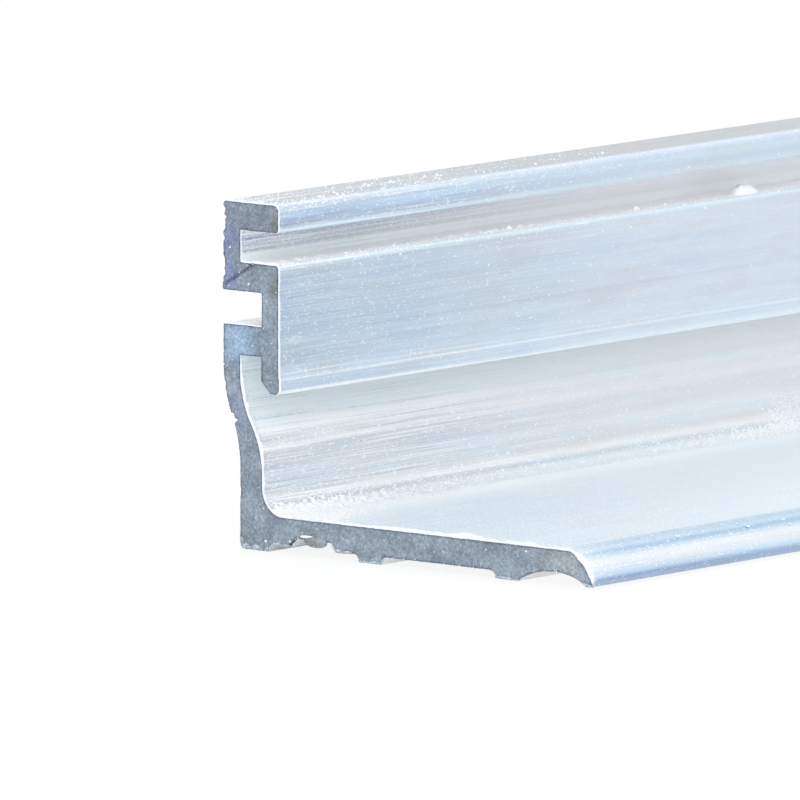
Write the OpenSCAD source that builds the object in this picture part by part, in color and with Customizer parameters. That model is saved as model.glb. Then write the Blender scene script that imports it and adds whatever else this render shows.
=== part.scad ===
// Guide rail profile: one length of extruded aluminium.
// The section is an L. Its upright leg carries a head with two grooves and a hanging fin,
// steps forward through an S-bend and turns into a base leg on small feet with a rounded lip.
// X is the width, from the back of the head to the lip, Y the length and Z the height. Millimetres.

/* [Rail] */
// Length of the rail
rail_length = 1000; // [250:250:3000]
// Width of the section, from the back of the head to the lip
rail_width = 34.8; // [34:0.2:45]
// Height of the section, from the floor to the top of the head
rail_height = 25.5; // [25:0.5:32]

/* [Head] */
// Depth of the head, from its back face to its front face
head_depth = 5.3; // [5:0.1:6]
// Thickness of the bar above the front groove
top_bar = 2.1; // [1.6:0.1:2.6]
// Width of the front groove, which opens towards the lip
front_groove_width = 2.3; // [1.8:0.1:2.6]
// Thickness of the wall behind the front groove
front_groove_wall = 1.7; // [1.2:0.1:2.2]
// Thickness of the bar between the two grooves
middle_bar = 2.2; // [1.6:0.1:2.6]
// Width of the back groove, which opens away from the lip
back_groove_width = 2.4; // [1.8:0.1:2.6]
// Thickness of the web in front of the back groove
back_groove_web = 1.65; // [1.2:0.05:2]
// Thickness of the bar below the back groove
lower_bar = 2.3; // [1.6:0.1:2.6]

/* [Fin] */
// Thickness of the fin that hangs from the front of the head
fin_thickness = 1.7; // [1.3:0.1:2]
// Distance from the underside of the head to the tip of the fin
fin_drop = 2.65; // [2:0.05:3.5]
// Height of the bevel on the back of the fin's tip
fin_bevel = 0.9; // [0.5:0.1:1.2]

/* [Upright leg] */
// Thickness of the leg where it hangs from the head
upper_wall = 1.65; // [1.4:0.05:1.9]
// Thickness of the leg where it meets the base
lower_wall = 2.15; // [1.9:0.05:2.4]
// How far the back of the leg steps forward in its S-bend
step_forward = 1.6; // [1.2:0.1:2]
// Radius of the inside corner between the leg and the base
root_radius = 2; // [1:0.1:2.5]

/* [Base leg] */
// Thickness of the base between its feet
base_thickness = 2.1; // [1.8:0.05:2.4]
// Height of the feet under the base
foot_height = 0.55; // [0.4:0.05:0.8]
// Width of the heel under the upright leg
heel_width = 2.7; // [2:0.1:3.5]
// Width of each of the two feet
foot_width = 2.1; // [1.5:0.1:2.6]
// Centre of the first foot, from the back of the head
first_foot = 13.95; // [13.5:0.05:15]
// Centre of the second foot, from the lip
second_foot = 8.05; // [7.8:0.05:9]
// Width of the groove in the underside between the heel and the first foot
key_groove_width = 4.2; // [3:0.1:4.6]
// Depth of that groove
key_groove_depth = 0.6; // [0.3:0.05:0.8]
// Width of the lip's lower edge
lip_edge = 0.65; // [0.5:0.05:0.8]
// Gap between the lip's lower edge and the floor
lip_gap = 0.2; // [0.1:0.05:0.3]
// Height of the hollow under the lip
lip_hollow_height = 0.95; // [0.7:0.05:1.1]

/* [Edges] */
// Radius of the top front edge of the head
crown_radius = 0.5; // [0.3:0.05:0.7]
// Radius of the other rounded edges
edge_radius = 0.3; // [0.15:0.05:0.4]

/* [Hidden] */
$fn = 96;

// Heights of the head's faces, from the top down
front_groove_top = rail_height - top_bar;
front_groove_floor = front_groove_top - front_groove_width;
back_groove_top = front_groove_floor - middle_bar;
back_groove_floor = back_groove_top - back_groove_width;
head_underside = back_groove_floor - lower_bar;
fin_tip = head_underside - fin_drop;
fin_back = head_depth - fin_thickness;

// The base's levels and the upright leg's two faces below the bend
base_top = foot_height + base_thickness;
wall_back = step_forward;
wall_front = step_forward + lower_wall;

// The back and front of the S-bend start and end at slightly different heights,
// which lets the leg thicken evenly from the head to the base
bend_back = [head_underside - 0.6, base_top + 3.25];
bend_front = [head_underside - 1.1, base_top + 2.75];

second_foot_x = rail_width - second_foot;
key_groove_x = (wall_back + heel_width + first_foot - foot_width / 2) / 2;

// How far helper shapes run past the faces they meet, and past the ends of the bend
overlap = 0.5;
reach = 8;

// Upright rectangle between two opposite corners
module bar(low, high) {
    translate(low) square(high - low);
}

// Piece between a square corner and the arc of radius r that rounds it.
// It is cut from an outside corner, or added to an inside one; inward points to the arc's centre
module corner_piece(corner, inward, r) {
    difference() {
        polygon([corner, corner + [inward[0] * r, 0], corner + [0, inward[1] * r]]);
        translate(corner + inward * r) circle(r);
    }
}

// All that lies left of an upright S-curve which steps to the right on its way down.
// The S is two equal arcs. Their radius is a hair over the one at which the two would only touch,
// so that they cross at one clear point near the middle
module left_of_bend(top, end) {
    step = end[0] - top[0];
    drop = top[1] - end[1];
    r = (ceil(25 * (step * step + drop * drop) / step) + 0.5) / 100;
    left = end[0] - reach;
    middle = (top[1] + end[1]) / 2;
    bar([left, top[1]], [top[0], top[1] + reach]);
    difference() {
        union() {
            bar([left, middle], [end[0], top[1]]);
            intersection() {
                bar([left, end[1]], [end[0], middle + overlap]);
                translate([end[0] - r, end[1]]) circle(r);
            }
        }
        translate([top[0] + r, top[1]]) circle(r);
    }
    bar([left, end[1] - reach], end);
}

// Head: a solid block with a groove in its front and one in its back
module head() {
    difference() {
        bar([0, head_underside], [head_depth, rail_height]);
        bar([front_groove_wall, front_groove_floor], [head_depth + overlap, front_groove_top]);
        bar([-overlap, back_groove_floor], [head_depth - back_groove_web, back_groove_top]);
        corner_piece([head_depth, rail_height], [-1, -1], crown_radius);
        corner_piece([0, rail_height], [1, -1], edge_radius);
        corner_piece([head_depth, front_groove_top], [-1, 1], edge_radius);
        corner_piece([head_depth, front_groove_floor], [-1, -1], edge_radius);
    }
}

// Fin: hangs in front of the leg and leaves a slot that is open below
module fin() {
    difference() {
        bar([fin_back, fin_tip], [head_depth, head_underside + overlap]);
        polygon([[fin_back, fin_tip], [fin_back, fin_tip + fin_bevel], [fin_back + fin_bevel, fin_tip]]);
        corner_piece([head_depth, fin_tip], [-1, 1], edge_radius);
    }
}

// Upright leg: straight under the head, an S-bend, and straight again down to the base.
// It is what lies left of its front curve and, turned half round, right of its back curve
module upright_leg() {
    intersection() {
        bar([0, foot_height], [wall_front, head_underside + overlap]);
        left_of_bend([upper_wall, bend_front[0]], [wall_front, bend_front[1]]);
        rotate(180) left_of_bend([-wall_back, -bend_back[1]], [0, -bend_back[0]]);
    }
}

// Foot under the base: flat below, with hollow flanks that run out into the underside
module foot(x_from, x_to) {
    difference() {
        bar([x_from - foot_height, 0], [x_to + foot_height, foot_height + overlap]);
        translate([x_from - foot_height, 0]) circle(foot_height);
        translate([x_to + foot_height, 0]) circle(foot_height);
    }
}

// Heel: the foot right under the upright leg, with a rounded back corner
module heel() {
    difference() {
        bar([wall_back, 0], [wall_back + heel_width + foot_height, base_top]);
        translate([wall_back + heel_width + foot_height, 0]) circle(foot_height);
        corner_piece([wall_back, 0], [1, 1], foot_height);
    }
}

// Lip: a quarter round from the top of the base down to an edge just clear of the floor
module lip() {
    difference() {
        bar([second_foot_x, lip_gap], [rail_width, base_top]);
        corner_piece([rail_width, base_top], [-1, -1], base_top - lip_gap);
    }
}

// Long round hollow under the lip, from the second foot's corner to the lip's edge
module lip_hollow() {
    from = [second_foot_x + foot_width / 2, 0];
    to = [rail_width - lip_edge, lip_gap];
    half = norm(to - from) / 2;
    rise = lip_hollow_height - lip_gap / 2;
    r = (half * half + rise * rise) / (2 * rise);
    up = [from[1] - to[1], to[0] - from[0]] / (2 * half);
    translate((from + to) / 2 - up * (r - rise)) circle(r);
}

// Shallow groove in the underside, with sloping sides
module key_groove() {
    mouth = key_groove_width / 2;
    ceiling = mouth - key_groove_depth;
    translate([key_groove_x, foot_height])
        polygon([
            [-mouth, -overlap], [-mouth, 0], [-ceiling, key_groove_depth],
            [ceiling, key_groove_depth], [mouth, 0], [mouth, -overlap]
        ]);
}

// Base leg: a flat bar on a heel and two feet that ends in the lip.
// The second foot runs on under the lip, and the hollow ends it
module base_leg() {
    difference() {
        union() {
            bar([wall_back, foot_height], [second_foot_x + overlap, base_top]);
            heel();
            foot(first_foot - foot_width / 2, first_foot + foot_width / 2);
            foot(second_foot_x - foot_width / 2, second_foot_x + foot_width);
            lip();
        }
        key_groove();
        lip_hollow();
    }
}

module section() {
    head();
    fin();
    upright_leg();
    base_leg();
    corner_piece([wall_front, base_top], [1, 1], root_radius);
}

module rail() {
    color("gainsboro")
        translate([-rail_width / 2, rail_length / 2, 0])
            rotate([90, 0, 0]) linear_extrude(rail_length) section();
}

rail();
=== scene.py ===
# %% [markdown]
# # A guide rail profile in bare aluminium
# The object is one straight length of an aluminium extrusion: an L-shaped section with a grooved head,
# a hanging fin, a bent upright leg and a base on small feet that ends in a rounded lip.
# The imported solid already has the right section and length. What it lacks is what the saw and the die
# leave behind: lines along the faces, a rough cut at each end, burrs round that cut and loose swarf.
# This lesson takes the section from the solid, sweeps it again with those marks, and then lights it.

import cmath
import math

import bpy
import numpy as np
from mathutils import Matrix, Vector, geometry, kdtree, noise


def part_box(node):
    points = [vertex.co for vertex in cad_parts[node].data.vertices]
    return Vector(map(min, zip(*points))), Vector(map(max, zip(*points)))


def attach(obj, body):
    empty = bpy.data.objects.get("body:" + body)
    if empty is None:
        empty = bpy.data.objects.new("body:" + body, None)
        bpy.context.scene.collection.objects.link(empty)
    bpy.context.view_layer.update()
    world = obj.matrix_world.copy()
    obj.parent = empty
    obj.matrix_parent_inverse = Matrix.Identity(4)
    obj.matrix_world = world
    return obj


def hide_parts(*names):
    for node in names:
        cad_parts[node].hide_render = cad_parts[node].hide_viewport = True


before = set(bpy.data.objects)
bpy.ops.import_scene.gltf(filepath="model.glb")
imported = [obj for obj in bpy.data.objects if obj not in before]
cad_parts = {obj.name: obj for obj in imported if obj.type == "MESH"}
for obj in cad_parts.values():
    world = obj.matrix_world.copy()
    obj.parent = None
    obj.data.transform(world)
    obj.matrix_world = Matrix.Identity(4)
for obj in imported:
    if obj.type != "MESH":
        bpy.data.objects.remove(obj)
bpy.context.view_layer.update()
scene = bpy.context.scene
for name in ("Cube", "Light", "Camera"):
    if name in bpy.data.objects:
        bpy.data.objects.remove(bpy.data.objects[name])

MM = 0.001
CAD_LOW, CAD_HIGH = (Vector(corner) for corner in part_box("rail"))
NEAR_Y = CAD_LOW.y / MM
FAR_Y = CAD_HIGH.y / MM
BACK_X = CAD_LOW.x / MM
print("rail box in mm", [round(v / MM, 2) for v in (*CAD_LOW, *CAD_HIGH)])

# %% [markdown]
# ## The section, read from the solid
# The outline could be typed in again from the drawing, but then it could drift away from the solid.
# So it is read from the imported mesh: every side face has one edge on the near end, and those edges chain
# into the outline. A point of the section is written as a complex number, width + i * height in millimetres,
# measured from the back of the head and from the floor, because turning and scaling are then one product.

# %% Outline of the near end
def end_outline(mesh):
    """Corners of the section in order, counter-clockwise as seen from the near end."""
    def corner(index):
        place = mesh.vertices[index].co / MM
        if abs(place.y - NEAR_Y) > 0.001:
            return None
        return complex(round(place.x - BACK_X, 4), round(place.z, 4))

    following = {}
    for face in mesh.polygons:
        corners = [corner(index) for index in face.vertices]
        if corners.count(None) == 1:
            for a, b in zip(corners, corners[1:] + corners[:1]):
                if a is not None and b is not None:
                    following[b] = a
    loop = [next(iter(following))]
    while following[loop[-1]] != loop[0]:
        loop.append(following[loop[-1]])
    return loop


corners = end_outline(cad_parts["rail"].data)
print(len(corners), "corners in the solid's outline")

# %% [markdown]
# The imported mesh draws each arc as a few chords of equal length. Where two neighbouring chords are equal and
# turn only a little, the side belongs to an arc, and the turn between them is the turn of that arc over one
# chord. With it each chord can be walked as the true arc again, as finely as the close-up view needs.

# %% Finer outline with true arcs
OUTLINE_STEP = 0.09
ARC_TURN_LIMIT = math.radians(20)


def arc_turns(loop):
    """How far the outline turns on its way along each side: zero on a straight one."""
    sides = [b - a for a, b in zip(loop, loop[1:] + loop[:1])]
    turns = []
    for i, side in enumerate(sides):
        before, after = sides[i - 1], sides[(i + 1) % len(sides)]
        turn = 0.0
        for neighbour, angle in ((before, cmath.phase(side / before)), (after, cmath.phase(after / side))):
            if abs(abs(neighbour) / abs(side) - 1) < 0.003 and abs(angle) < ARC_TURN_LIMIT:
                turn = angle
        turns.append(turn)
    return turns


def walk(a, b, turn):
    """Evenly spaced points from a towards b, on the arc that turns by the given angle."""
    count = max(1, math.ceil(abs(b - a) / OUTLINE_STEP))
    for k in range(count):
        t = k / count
        share = (cmath.exp(1j * turn * t) - 1) / (cmath.exp(1j * turn) - 1) if turn else t
        yield a + (b - a) * share


outline = []
for a, b, turn in zip(corners, corners[1:] + corners[:1], arc_turns(corners)):
    outline.extend(walk(a, b, turn))
outline = np.array(outline)
along = np.roll(outline, -1) - np.roll(outline, 1)
outward = -1j * along / np.abs(along)
travelled = np.concatenate(([0], np.cumsum(np.abs(np.diff(outline)))))
print(len(outline), "points round a section of", round(travelled[-1], 1), "mm")

# %% [markdown]
# ## What the die leaves
# An extrusion die has tiny scratches in its mouth, and each one draws a line along the whole length.
# They run unbroken from end to end, so they can be real relief: every point of the outline moves in or out
# by up to two hundredths of a millimetre. The fin also has a slightly proud toe along its lower edge,
# which shows as a second bright line on its face.

# %% Die lines and the fin's toe
DIE_LINES = (
    # how far apart the lines lie, and how far they stand in or out
    (0.24, 0.004), (0.9, 0.008), (3.1, 0.010),
)
HEAD_FRONT = 5.3
TOE_TOP = 12.7
TOE_STEP = 0.09
TOE_PROUD = 0.06
random = np.random.default_rng(11)


def wander(spacing):
    """Smooth random curve along the outline, from -1 to 1, with one swing in about every spacing."""
    knots = random.uniform(-1, 1, int(travelled[-1] / spacing) + 3)
    place = travelled / spacing
    whole = place.astype(int)
    part = place - whole
    ease = part * part * (3 - 2 * part)
    return knots[whole] * (1 - ease) + knots[whole + 1] * ease


relief = sum(height * wander(spacing) for spacing, height in DIE_LINES)
on_fin = (np.abs(outline.real - HEAD_FRONT) < 0.01) & (outline.imag < TOE_TOP + TOE_STEP)
relief += np.where(on_fin, TOE_PROUD * np.clip((TOE_TOP + TOE_STEP - outline.imag) / TOE_STEP, 0, 1), 0)
drawn = outline + outward * relief
print("die lines from", round(relief.min(), 3), "to", round(relief.max(), 3), "mm")

# %% [markdown]
# ## What the saw leaves
# A saw pushes metal over the edge, so the upper and inner edges of the cut carry a thin bright burr.
# On the lip the corner is knocked off instead. Where the teeth leave, at the back, metal tears and small
# bites are missing. Each is an amount along the outline: how far the burr stands out, how wide the broken
# corner is, and how deep a bite goes. Places and amounts of the large ones follow the photograph, the rest
# is random.

# %% Burr, broken corner and bites along the edge of a cut
BURRS = (
    # left, right, bottom, top of a part of the section, and how far the burr stands out there
    (5.5, 22.0, 2.5, 2.8, 0.20), (22.0, 29.5, 2.5, 2.8, 0.34), (29.5, 33.0, 2.5, 2.8, 0.22),
    (3.6, 5.6, 2.6, 5.0, 0.14), (2.5, 4.0, 4.6, 8.0, 0.25), (1.6, 3.5, 8.0, 12.6, 0.32),
    (1.6, 2.2, 12.6, 13.8, 0.10), (1.7, 5.2, 21.0, 21.2, 0.12), (5.2, 5.4, 10.8, 25.2, 0.08),
    (0.2, 5.0, 25.4, 25.6, 0.09), (0.0, 3.6, 16.4, 16.6, 0.06),
)
LIP_CORNER = (33.2, 35.0, 0.62, 2.75)
LIP_CORNER_BREAK = 0.30
USUAL_BURR, USUAL_BREAK = 0.015, 0.03
BITES = (
    # place on the outline, half its length, and its depth; a spur has a depth below zero
    (0.0, 24.2, 1.0, 0.27), (0.0, 22.75, 0.2, 0.12), (0.0, 20.75, 0.75, 0.20), (0.0, 20.05, 0.2, 0.12),
    (0.0, 19.25, 0.25, -0.14), (0.95, 9.55, 0.42, 0.36), (0.1, 12.1, 0.25, 0.12), (1.6, 4.2, 0.3, 0.08),
)


def within(left, right, bottom, top):
    """Which outline points lie in a part of the section."""
    between_sides = (outline.real >= left) & (outline.real <= right)
    return between_sides & (outline.imag >= bottom) & (outline.imag <= top)


def softened(values, reach):
    """Running mean along the outline, so that an amount swells and fades."""
    width = int(reach / OUTLINE_STEP)
    wide = np.concatenate((values[-width:], values, values[:width]))
    return np.convolve(wide, np.ones(2 * width + 1) / (2 * width + 1), mode="valid")


def edge_of_cut(bites):
    """Burr, broken corner and bite at every point of the outline, in millimetres."""
    burr = np.full(len(outline), USUAL_BURR)
    for *part, height in BURRS:
        burr = np.where(within(*part), height, burr)
    ragged = 1 + 0.25 * wander(0.35) + 0.5 * wander(1.7) + 0.25 * wander(4.0)
    burr = softened(burr, 0.3) * np.clip(ragged, 0.2, 2)
    broken = np.where(within(*LIP_CORNER), LIP_CORNER_BREAK, USUAL_BREAK)
    broken = softened(broken, 0.4) * (1 + 0.2 * wander(0.4))
    bite = 0.008 + 0.012 * wander(0.2)
    for x, z, reach, depth in bites:
        near = np.clip(1.7 - 1.7 * (np.abs(outline - complex(x, z)) / reach) ** 2, 0, 1)
        bite = bite + depth * near * (0.75 + 0.4 * wander(0.2))
    return burr, broken, bite


near_edge = edge_of_cut(BITES)
far_edge = edge_of_cut(())
print("burr up to", round(near_edge[0].max(), 2), "mm, bites up to", round(near_edge[2].max(), 2), "mm")

# %% [markdown]
# ## The swept rail
# A curve with a bevel profile would sweep the section in one step, but the same from end to end.
# Rings of points give control over the last millimetre: the first three rings draw the edge of the cut,
# the next ones let the bites run out, and after that a few rings carry the plain section to the middle.
# The other half is made the same way from the far end.

# %% Rings of points from both ends
PLAIN_DEPTHS = (0.9, 1.4, 2.5, 4, 6, 9, 14, 22, 40, 100, 220, 360)
BITE_RUN = 1.3


def ring(depth, out):
    """One ring: width, depth from the end and height of every point, in millimetres."""
    points = drawn + outward * out
    return np.column_stack((points.real + BACK_X, depth + 0 * points.real, points.imag))


def end_rings(burr, broken, bite):
    """Rings from a cut end to near the middle of the rail."""
    rings = [
        ring(0.0, -broken - bite),
        ring(0.05 + 0.25 * broken, burr - 0.3 * broken - bite),
        ring(0.15 + 0.9 * broken + 0.4 * burr, 0.2 * burr - 0.02 * broken - 0.9 * bite),
    ]
    for depth in PLAIN_DEPTHS:
        rings.append(ring(depth, -bite * max(0, 1 - (depth / BITE_RUN) ** 2)))
    return rings


near_rings = end_rings(*near_edge)
far_rings = end_rings(*far_edge)
for points in near_rings:
    points[:, 1] += NEAR_Y
for points in far_rings:
    points[:, 1] = FAR_Y - points[:, 1]
rings = near_rings + far_rings[::-1]
print(len(rings), "rings of", len(drawn), "points")

# %% [markdown]
# ## The sawn face
# The cut face is the part of the photograph that is closest to the eye. A single flat polygon can't hold
# saw marks, so the face is filled with small triangles: jittered grid points inside the outline, joined by
# a constrained Delaunay triangulation, and each point is then pushed in or out by the saw's marks.

# %% Points inside the cut face
FACE_GRID = 0.15


def inside(points, loop):
    """Which points lie inside a closed loop, by counting the sides that a ray to the right crosses."""
    a, b = loop, np.roll(loop, -1)
    crossed = np.zeros(len(points), dtype=bool)
    for start, end in zip(a, b):
        low, high = sorted((start.imag, end.imag))
        level = (points.imag >= low) & (points.imag < high)
        if level.any():
            t = (points.imag[level] - start.imag) / (end.imag - start.imag)
            crossed[level] ^= points.real[level] < start.real + t * (end.real - start.real)
    return crossed


def face_points(loop):
    """Jittered grid points inside the loop that keep a little clear of its edge."""
    xs = np.arange(loop.real.min(), loop.real.max(), FACE_GRID)
    zs = np.arange(loop.imag.min(), loop.imag.max(), FACE_GRID)
    grid = (xs[None, :] + 1j * zs[:, None]).ravel()
    grid = grid + 0.3 * FACE_GRID * (random.uniform(-1, 1, len(grid)) + 1j * random.uniform(-1, 1, len(grid)))
    grid = grid[inside(grid, loop)]
    edge = kdtree.KDTree(len(loop))
    for i, point in enumerate(loop):
        edge.insert((point.real, point.imag, 0), i)
    edge.balance()
    clear = [edge.find((point.real, point.imag, 0))[2] > 0.6 * FACE_GRID for point in grid]
    return grid[np.array(clear)]


def cut_face(points):
    """Triangles that fill a ring of points, as the points added and the corners of each triangle."""
    loop = points[:, 0] - BACK_X + 1j * points[:, 2]
    extra = face_points(loop)
    flat = [Vector((p.real, p.imag)) for p in np.concatenate((loop, extra))]
    filled = geometry.delaunay_2d_cdt(flat, [], [list(range(len(loop)))], 1, 1e-6)
    origins = [source[0] for source in filled[3]]
    triangles = [[origins[corner] for corner in face] for face in filled[2]]
    return extra, triangles


near_extra, near_triangles = cut_face(near_rings[0])
far_extra, far_triangles = cut_face(far_rings[0])
print(len(near_triangles), "triangles on the near face,", len(far_triangles), "on the far face")

# %% [markdown]
# The marks have three sizes. The blade wanders a little, which makes broad shallow waves. Its teeth draw
# close parallel lines, all leaning the same way. Torn and smeared metal makes a fine grain on top.
# One deep scratch crosses the head, as on the real piece.

# %% Saw marks
TOOTH_LEAN = cmath.exp(1j * math.radians(32))
TOOTH_SPACING = 0.42
WAVE_HEIGHT, TOOTH_HEIGHT, GRAIN_HEIGHT = 0.020, 0.010, 0.030
SCRATCH = (complex(0.1, 19.3), complex(3.3, 21.25))
SCRATCH_DEPTH, SCRATCH_HALF_WIDTH = 0.07, 0.16
NEAR_SEED, FAR_SEED = 0.5, 31.5


def saw_marks(point, seed):
    """How far the saw left one point of the face standing proud, in millimetres."""
    across = (point / TOOTH_LEAN).imag
    wave = noise.noise((point.real * 0.5, point.imag * 0.5, seed))
    sway = noise.noise((point.real * 0.9, point.imag * 0.9, seed + 7))
    grain = noise.noise((point.real * 3.4, point.imag * 3.4, seed + 3))
    tooth = math.sin(2 * math.pi * across / TOOTH_SPACING + 4 * sway)
    height = WAVE_HEIGHT * wave + TOOTH_HEIGHT * tooth * (0.4 + abs(sway)) + GRAIN_HEIGHT * grain
    start, end = SCRATCH
    turned = (point - start) / (end - start)
    aside = abs(turned.imag) * abs(end - start)
    if 0 < turned.real < 1:
        fading = math.sin(math.pi * turned.real) ** 0.5
        height -= SCRATCH_DEPTH * max(0, 1 - aside / SCRATCH_HALF_WIDTH) * fading
    return height


def raised(extra, y_end, outside, seed):
    """The face's own points with their saw marks, in millimetres."""
    heights = np.array([saw_marks(point, seed) for point in extra])
    return np.column_stack((extra.real + BACK_X, y_end + outside * heights, extra.imag))


near_points = raised(near_extra, NEAR_Y, -1, NEAR_SEED)
far_points = raised(far_extra, FAR_Y, 1, FAR_SEED)
proud = NEAR_Y - near_points[:, 1]
print("saw marks from", round(proud.min(), 3), "to", round(proud.max(), 3), "mm on the near face")

# %% [markdown]
# ## Tones of the faces, and painted light and shade
# Each face has a tone of its own, and most of these tones are painted light and shade rather than the
# metal's colour. The head's front is painted cooler and darker than the base, as painted reflection of
# shade, and the top is greyer. The wall of the front groove carries a painted shadow under the bar, the
# leg and the lip are painted in bands of painted reflection, and the ledge and ceiling of the groove, the
# slot under the fin and the undersides are painted nearly white against their shade. Most faces are
# painted lighter further in, a painted gradient of light along the rail. The inside corner is almost white,
# from dust and from painted light: from it the top of the base, painted lighter where the leg's shade
# falls, fades evenly to its own tone, and next to the cut the lip is paler. A colour for every point of the
# outline is kept with the mesh as an attribute. The burrs are smeared bright and carry a painted highlight,
# painted highlights run as bright lines along the toe's step, the bends of the leg and the wall of the
# groove, and every scratch in the die scores a slightly paler or darker line along the whole length. The
# fourth value says how dull a face is: fine dust and oxide spread its reflection and hide its lines. Below
# zero it is smoother than usual. The tones were matched face by face, by comparing the mean tone of the
# render with that of the photograph.

# %% Colour helper, and a tone with painted light and shade for every outline point
def linear(code):
    """Linear colour of an sRGB hex code."""
    channels = [int(code[i:i + 2], 16) / 255 for i in (1, 3, 5)]
    return (*(c / 12.92 if c <= 0.04045 else ((c + 0.055) / 1.055) ** 2.4 for c in channels), 1.0)


PLAIN, PLAIN_DULLNESS = "#D0DAE2", 0.3
# The colour of the painted highlights, and of the brightest burr lumps
BRIGHT = "#FCFDFE"
FACE_TONES_AND_PAINTED_LIGHT = (
    # left, right, bottom, top of a part of the section; its tone near the cut and further in, mostly
    # painted light and shade; and how dull it is
    (-0.1, 5.0, 25.3, 25.6, "#B8BEC2", "#B3B6B8", 0.4),
    (4.75, 5.4, 25.0, 25.6, "#C9D8E4", "#CCD7E5", 0.5),
    (5.2, 5.4, 24.55, 25.05, "#BCD6ED", "#D5E4ED", 0.3),
    (5.2, 5.4, 24.15, 24.55, "#ABC0DB", "#CBD8E5", 0.3),
    (5.2, 5.4, 23.7, 24.15, "#ADBDCD", "#CFDCE7", 0.3),
    (4.9, 5.4, 23.3, 23.7, "#E3F6FF", "#D7E1EB", 0.5),
    (1.6, 1.8, 22.5, 23.5, "#A9B6CF", "#F9F8FC", 0.6),
    (1.6, 1.8, 22.2, 22.5, "#B0BECC", "#F4F6FC", 0.6),
    (1.6, 1.8, 21.7, 22.2, "#C0CFDA", "#F5F4F4", 0.6),
    (1.6, 1.8, 21.5, 21.7, "#FAFEFF", "#FFFFFF", 0.8),
    (1.6, 1.8, 21.2, 21.5, "#EBF9FF", "#FFFFFF", 0.8),
    (1.7, 5.1, 21.0, 21.2, "#FAFFFF", "#FDFFFF", 1.0),
    (1.7, 5.1, 23.3, 23.5, "#FFFFFF", "#FFFFFF", 1.0),
    (5.2, 5.4, 11.8, 20.8, "#C0D0DD", "#D9E2EB", 0.1),
    (5.2, 5.4, 12.6, 13.6, "#CAD9E7", "#D9E4ED", 0.1),
    (5.2, 5.4, 11.8, 12.6, "#CAD9E6", "#DDE8F1", 0.1),
    (4.95, 5.4, 20.76, 21.2, "#DDECF5", "#D5E6EE", 0.6),
    (4.9, 5.4, 11.5, 11.81, "#FFFFFF", "#F2FBFF", 1.0),
    (0.0, 3.6, 16.4, 16.6, "#FFFFFF", "#FFFFFF", 0.8),
    (1.6, 3.7, 9.4, 14.3, "#F5FDFF", "#FDFFFF", 0.8),
    (1.6, 3.7, 8.5, 9.4, "#FFFFFF", "#EEF2F3", 0.7),
    (2.4, 3.7, 7.4, 8.5, "#EAECEC", "#EAE8EB", 0.5),
    (3.0, 4.0, 5.9, 7.4, "#D0D6DB", "#E2E4E8", 0.4),
    (3.6, 4.0, 4.5, 5.9, "#D8E0E7", "#E7EBED", 0.4),
    (3.6, 4.0, 3.9, 4.5, "#DBDFE3", "#DFE0E1", 0.5),
    (3.6, 4.2, 3.48, 3.9, "#EAEDF0", "#EDEDEC", 0.5),
    (4.0, 4.7, 3.15, 3.48, "#CAD1D9", "#C8D3D8", 0.3),
    (4.2, 6.0, 2.6, 3.15, "#DFE5E8", "#E1EAED", 0.8),
    (5.7, 32.4, 2.5, 2.8, "#CFDBE2", "#DCE3E8", 0.6),
    (31.5, 32.5, 2.5, 2.8, "#BACCDA", "#BACCDA", 0.4),
    (32.5, 33.3, 2.3, 2.8, "#BACFDE", "#BACFDE", 0.2),
    (33.3, 33.75, 2.1, 2.6, "#A1BACF", "#A1BACF", 0.2),
    (33.75, 34.05, 1.9, 2.3, "#C4D2DB", "#C4D2DB", 0.2),
    (34.05, 34.6, 1.1, 2.1, "#DFE5EA", "#DFE5EA", 0.3),
    (34.5, 34.9, 0.8, 1.15, "#CCE0EE", "#CCE0EE", 0.2),
    (34.7, 34.9, 0.5, 0.8, "#92ADCF", "#92ADCF", 0.1),
    (34.7, 34.9, 0.1, 0.5, "#A8BBD2", "#A8BBD2", 0.1),
    (4.2, 7.3, -0.1, 1.2, "#FFFFFF", "#FFFFFF", -0.8),
    (14.9, 15.7, -0.1, 0.6, "#FFFFFF", "#FFFFFF", -0.8),
    (27.7, 34.3, -0.1, 1.2, "#FFFFFF", "#FFFFFF", -0.8),
)
BASE_TOP = (5.7, 31.5, 2.5, 2.8)
BASE_PAINTED_LIGHT = (
    # a distance from the back of the head on top of the base, and the tone there near the cut and further in,
    # painted lighter near the leg against the shade it casts
    (6.0, "#FFFFFD", "#EDF6FB"), (7.5, "#FCFEFD", "#EBF4FA"), (9.0, "#E9F0F2", "#E4ECF1"),
    (11.0, "#DBE7EE", "#E3EAEF"), (14.0, "#D5E1E8", "#DFE6EB"), (18.0, "#CFDBE2", "#DCE3E8"),
)
# Further in, every face is this much duller
FURTHER_IN = 0.25
PAINTED_HIGHLIGHTS = (
    # a place on the outline, half the width of the painted highlight there, and how bright it is
    (complex(HEAD_FRONT, TOE_TOP - 0.03), 0.1, 0.44), (complex(HEAD_FRONT, 13.05), 0.12, 0.25),
    (complex(2.53, 9.30), 0.05, 0.7), (complex(2.74, 8.97), 0.08, 0.8), (complex(2.95, 8.60), 0.06, 0.6),
    (complex(3.12, 8.25), 0.04, 0.4), (complex(3.75, 5.25), 0.05, 0.4),
    (complex(1.7, 22.45), 0.05, 0.35), (complex(1.7, 22.05), 0.05, 0.4), (complex(1.7, 21.62), 0.06, 0.7),
)
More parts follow.
